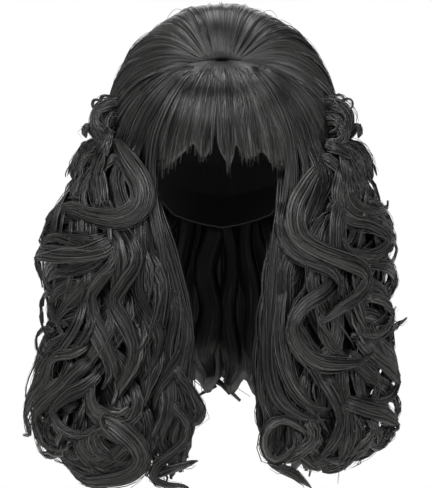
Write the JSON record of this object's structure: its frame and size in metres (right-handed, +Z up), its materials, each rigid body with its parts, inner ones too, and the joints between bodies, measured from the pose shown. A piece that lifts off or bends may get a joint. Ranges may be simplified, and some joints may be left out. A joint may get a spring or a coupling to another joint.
{
  "type": "long curly wig with a high crown and a straight fringe",
  "caption": "Costume wig: net cap, high backcombed crown, straight fringe in strips, and long curled locks round the face, sides and back.",
  "frame": {"origin": "inside of the cap where the top of the head meets it", "axes": "+Z up, the face side looks along -Y, +X to the right seen from the face side"},
  "size_m": [0.3625, 0.259, 0.4599],
  "materials": {
    "hair": "satin synthetic hair fibre",
    "net": "matt stretch net"
  },
  "bodies": {
    "root": {"cap": "net", "crown": "hair", "fringe": "hair", "front_lock_left": "hair", "front_lock_right": "hair", "curls_front_left": "hair", "curls_front_right": "hair", "curls_side_left": "hair", "curls_side_right": "hair", "curls_rear_left": "hair", "curls_rear_right": "hair", "curls_back_left": "hair", "curls_back_right": "hair", "temple_curl_upper_left": "hair", "temple_curl_upper_right": "hair", "temple_curl_lower_left": "hair", "temple_curl_lower_right": "hair"}
  },
  "joints": []
}
